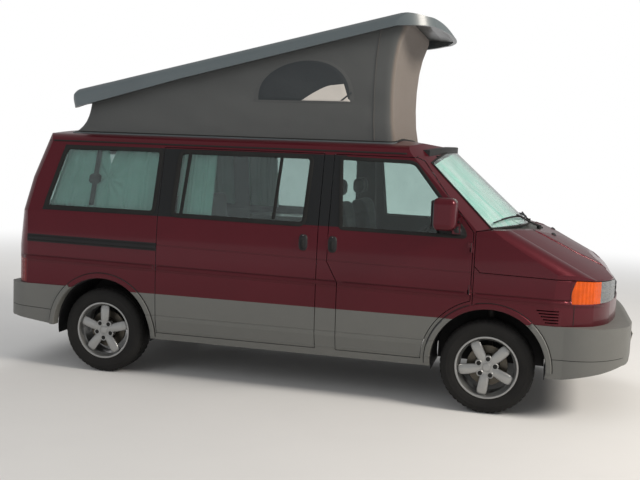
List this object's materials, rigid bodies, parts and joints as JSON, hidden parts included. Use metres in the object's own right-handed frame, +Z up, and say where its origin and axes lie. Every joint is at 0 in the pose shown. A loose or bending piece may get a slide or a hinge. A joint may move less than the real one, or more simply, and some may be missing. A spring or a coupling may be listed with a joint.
{
  "type": "camper van",
  "caption": "Camper van with a tilting pop-top roof on canvas walls, hinged front doors, bonnet and tailgate, steered front wheels and windows on all sides.",
  "frame": {"origin": "on the floor under the middle of the van's outer box", "axes": "+X forward, +Y to the van's left, +Z up"},
  "size_m": [4.789, 2.26, 2.7655],
  "materials": {
    "paint": "dark red metallic",
    "bumper_grey": "grey textured",
    "shell_grey": "slate grey gel coat",
    "black_plastic": "moulded",
    "glass": "tinted",
    "lamp_clear": "clear lens",
    "lamp_red": "red lens",
    "steel": "painted chassis black",
    "underbody": "sealed",
    "alloy": "silver lacquer",
    "tyre": "moulded",
    "canvas": "woven canvas",
    "curtain": "woven",
    "foil": "metallised",
    "seat_cloth": "woven",
    "trim_grey": "grained",
    "cupboard": "laminate"
  },
  "bodies": {
    "root": {"floor_pan": "underbody", "side_frame_right": "paint", "side_frame_left": "paint", "roof_panel": "paint", "sliding_door": "paint", "side_glass": "glass", "windscreen": "glass", "cowl_panel": "black_plastic", "front_wings": "paint", "nose_panel": "paint", "front_lamps": "lamp_clear", "grille": "black_plastic", "front_bumper": "bumper_grey", "rear_bumper": "bumper_grey", "tail_lamps": "lamp_red", "wheel_housings": "black_plastic", "front_subframe": "steel", "engine_block": "steel", "rear_axle": "steel", "fuel_tank": "black_plastic", "exhaust": "steel", "tent": "canvas", "air_deflector": "black_plastic", "dashboard": "trim_grey", "front_seats": "seat_cloth", "rear_bench": "seat_cloth", "kitchen_unit": "cupboard", "window_covers": "curtain", "sunshade": "foil"},
    "bonnet": {"bonnet": "paint"},
    "door_right": {"door_right": "paint", "door_right_glass": "glass"},
    "door_left": {"door_left": "paint", "door_left_glass": "glass"},
    "tailgate": {"tailgate": "paint", "tailgate_glass": "glass"},
    "knuckle_right": {"knuckle_right": "steel"},
    "knuckle_left": {"knuckle_left": "steel"},
    "wheel_front_right": {"tyre_front_right": "tyre", "rim_front_right": "alloy"},
    "wheel_front_left": {"tyre_front_left": "tyre", "rim_front_left": "alloy"},
    "wheel_rear_right": {"tyre_rear_right": "tyre", "rim_rear_right": "alloy"},
    "wheel_rear_left": {"tyre_rear_left": "tyre", "rim_rear_left": "alloy"},
    "poptop_arms": {"poptop_arms": "steel"},
    "poptop_shell": {"poptop_shell": "shell_grey"},
    "steering_wheel": {"steering_wheel": "trim_grey"}
  },
  "joints": [
    {"name": "steer_right", "type": "hinge", "parent": "root", "child": "knuckle_right", "pos_m": [1.4015, -0.725, 0.215], "axis": [0, 0.1815, 0.9834], "range_deg": [-33, 33]},
    {"name": "steer_left", "type": "hinge", "parent": "root", "child": "knuckle_left", "pos_m": [1.4015, 0.725, 0.215], "axis": [0, -0.1815, 0.9834], "range_deg": [-33, 33]},
    {"name": "steering_wheel_turn", "type": "hinge", "parent": "root", "child": "steering_wheel", "pos_m": [0.745, 0.38, 1.14], "axis": [-0.6428, 0, 0.766], "range_deg": [-495, 495]},
    {"name": "spin_front_right", "type": "hinge", "parent": "knuckle_right", "child": "wheel_front_right", "pos_m": [1.4015, -0.794, 0.325], "axis": [0, 1, 0], "continuous": true},
    {"name": "spin_front_left", "type": "hinge", "parent": "knuckle_left", "child": "wheel_front_left", "pos_m": [1.4015, 0.794, 0.325], "axis": [0, 1, 0], "continuous": true},
    {"name": "spin_rear_right", "type": "hinge", "parent": "root", "child": "wheel_rear_right", "pos_m": [-1.5185, -0.777, 0.325], "axis": [0, 1, 0], "continuous": true},
    {"name": "spin_rear_left", "type": "hinge", "parent": "root", "child": "wheel_rear_left", "pos_m": [-1.5185, 0.777, 0.325], "axis": [0, 1, 0], "continuous": true},
    {"name": "door_right_hinge", "type": "hinge", "parent": "root", "child": "door_right", "pos_m": [1.262, -0.918, 0.8], "axis": [0, 0, 1], "range_deg": [0, 65]},
    {"name": "door_left_hinge", "type": "hinge", "parent": "root", "child": "door_left", "pos_m": [1.262, 0.918, 0.8], "axis": [0, 0, -1], "range_deg": [0, 65]},
    {"name": "tailgate_hinge", "type": "hinge", "parent": "root", "child": "tailgate", "pos_m": [-2.106, 0, 1.8], "axis": [0, 1, 0], "range_deg": [0, 85]},
    {"name": "bonnet_hinge", "type": "hinge", "parent": "root", "child": "bonnet", "pos_m": [1.375, 0, 1.4], "axis": [0, -1, 0], "range_deg": [0, 50]},
    {"name": "poptop_lift", "type": "hinge", "parent": "root", "child": "poptop_arms", "pos_m": [-0.4, 0, 1.885], "axis": [0, -1, 0], "range_deg": [0, 18.81], "deforming": ["tent"]},
    {"name": "poptop_tilt", "type": "hinge", "parent": "poptop_arms", "child": "poptop_shell", "pos_m": [-1.32213, 0, 2.2142], "axis": [0, 1, 0], "range_deg": [0, 31.11]}
  ],
  "couplings": [
    {"joint": "steer_left", "follows": "steer_right", "ratio": 1},
    {"joint": "steering_wheel_turn", "follows": "steer_right", "ratio": 15},
    {"joint": "poptop_tilt", "follows": "poptop_lift", "ratio": 1.6539}
  ]
}
